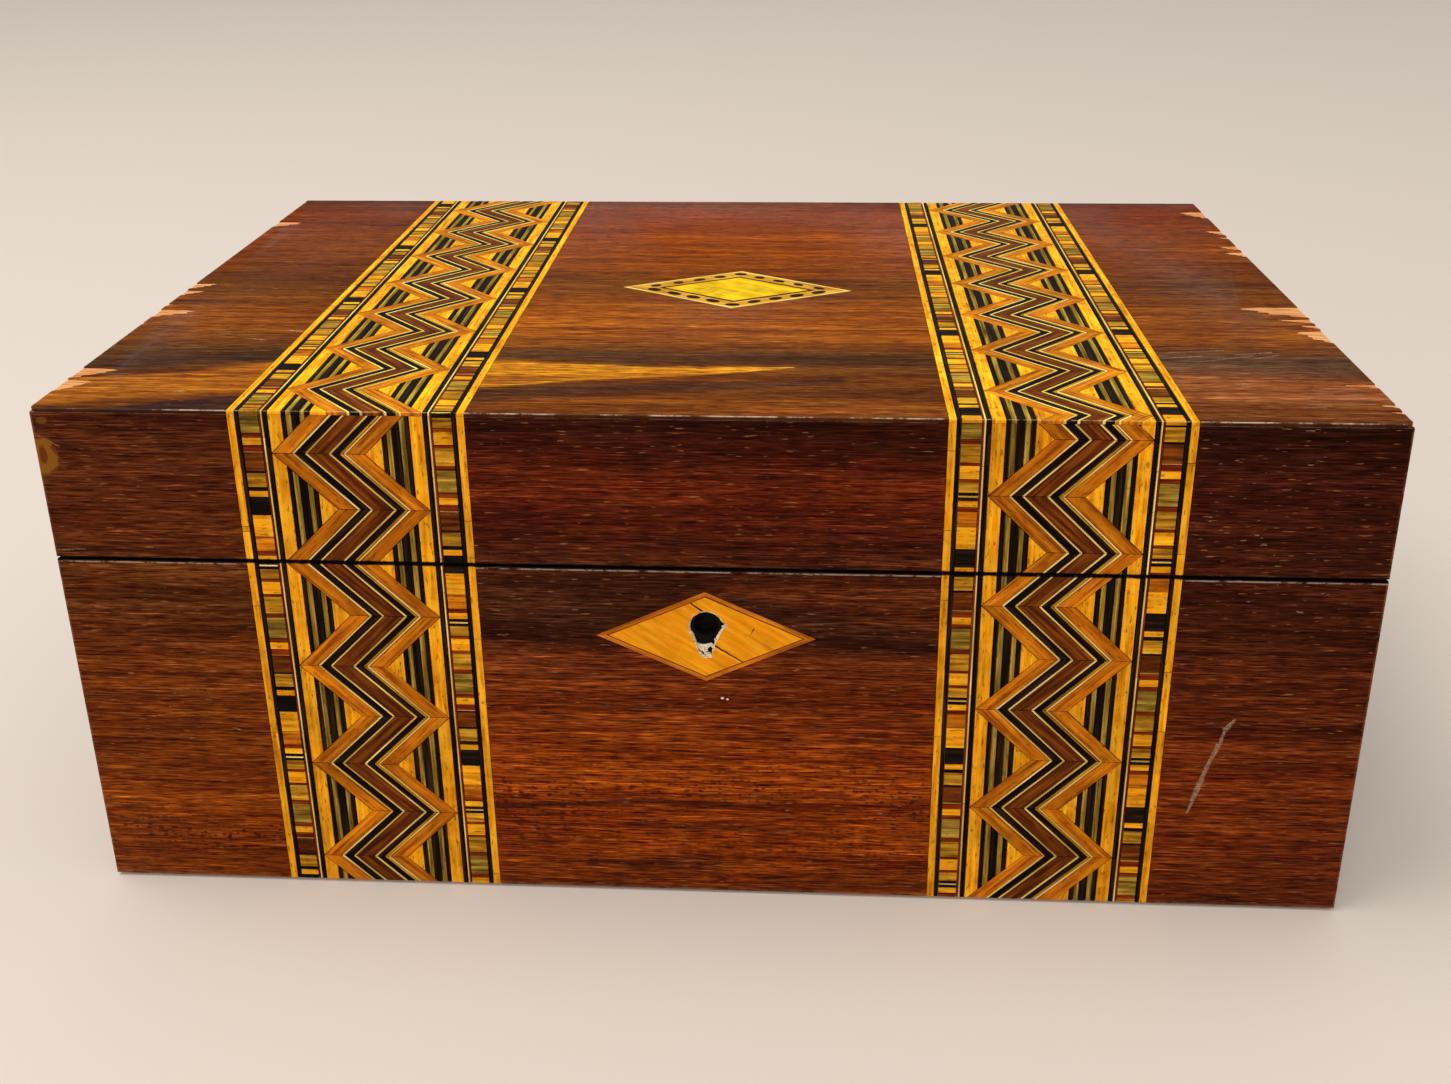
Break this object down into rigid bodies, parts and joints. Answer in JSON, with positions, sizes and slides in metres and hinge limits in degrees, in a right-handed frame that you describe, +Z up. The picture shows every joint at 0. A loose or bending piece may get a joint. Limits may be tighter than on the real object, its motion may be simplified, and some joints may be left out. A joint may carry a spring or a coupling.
{
  "type": "antique glove box",
  "caption": "Rectangular hinged wooden box veneered in rosewood, with two zigzag parquetry bands over lid and front, diamond inlays, a keyhole and a lined interior.",
  "frame": {"origin": "middle of the underside, on the surface that the box stands on", "axes": "+X to the right seen from the front, +Y to the back, +Z up; the keyhole faces -Y"},
  "size_m": [0.3, 0.19, 0.127],
  "materials": {
    "carcase": "oiled",
    "rosewood": "french polished",
    "ebony": "french polished",
    "satinwood": "french polished",
    "boxwood": "french polished",
    "yew": "french polished",
    "harewood": "french polished",
    "baize": "felted",
    "velvet": "velvet",
    "lining": "paper-backed silk",
    "silk": "quilted silk",
    "brass": "tarnished",
    "steel": "dull"
  },
  "bodies": {
    "base": {"base_front_wall": "carcase", "base_back_wall": "carcase", "base_left_wall": "carcase", "base_right_wall": "carcase", "base_bottom_board": "carcase", "underside_baize": "baize", "base_front_veneer": "rosewood", "base_left_veneer": "rosewood", "base_right_veneer": "rosewood", "base_back_veneer": "rosewood", "escutcheon_field": "satinwood", "escutcheon_border": "yew", "base_band_ebony": "ebony", "base_band_satinwood": "satinwood", "base_band_boxwood": "boxwood", "base_band_rosewood": "rosewood", "base_band_yew": "yew", "base_band_harewood": "harewood", "lock_plate": "brass", "lock_cap": "brass", "lock_drill_pin": "brass", "lock_screws": "brass", "base_hinge_leaves": "brass", "hinge_pins": "brass", "base_hinge_screws": "brass", "base_front_lining": "lining", "base_back_lining": "lining", "base_left_lining": "lining", "base_right_lining": "lining", "base_floor_pad": "velvet"},
    "lid": {"lid_front_wall": "carcase", "lid_back_wall": "carcase", "lid_left_wall": "carcase", "lid_right_wall": "carcase", "lid_top_board": "carcase", "lid_top_veneer": "rosewood", "lid_front_veneer": "rosewood", "lid_left_veneer": "rosewood", "lid_right_veneer": "rosewood", "lid_back_veneer": "rosewood", "lid_band_ebony": "ebony", "lid_band_satinwood": "satinwood", "lid_band_boxwood": "boxwood", "lid_band_rosewood": "rosewood", "lid_band_yew": "yew", "lid_band_harewood": "harewood", "lid_lozenge_field": "satinwood", "lid_lozenge_line": "ebony", "lid_lozenge_border": "boxwood", "lid_lozenge_beads": "ebony", "link_plate": "brass", "link_plate_screws": "brass", "lid_hinge_leaves": "brass", "lid_hinge_screws": "brass", "lid_linings": "lining", "lid_silk_pad": "silk"},
    "lock_bolt": {"lock_bolt": "brass", "lock_spring": "steel"}
  },
  "joints": [
    {"name": "lid_hinge", "type": "hinge", "parent": "base", "child": "lid", "pos_m": [0, 0.091, 0.0898], "axis": [-1, 0, 0], "range_deg": [0, 98]},
    {"name": "bolt_slide", "type": "slide", "parent": "base", "child": "lock_bolt", "axis": [1, 0, 0], "range_m": [0, 0.0034]}
  ]
}
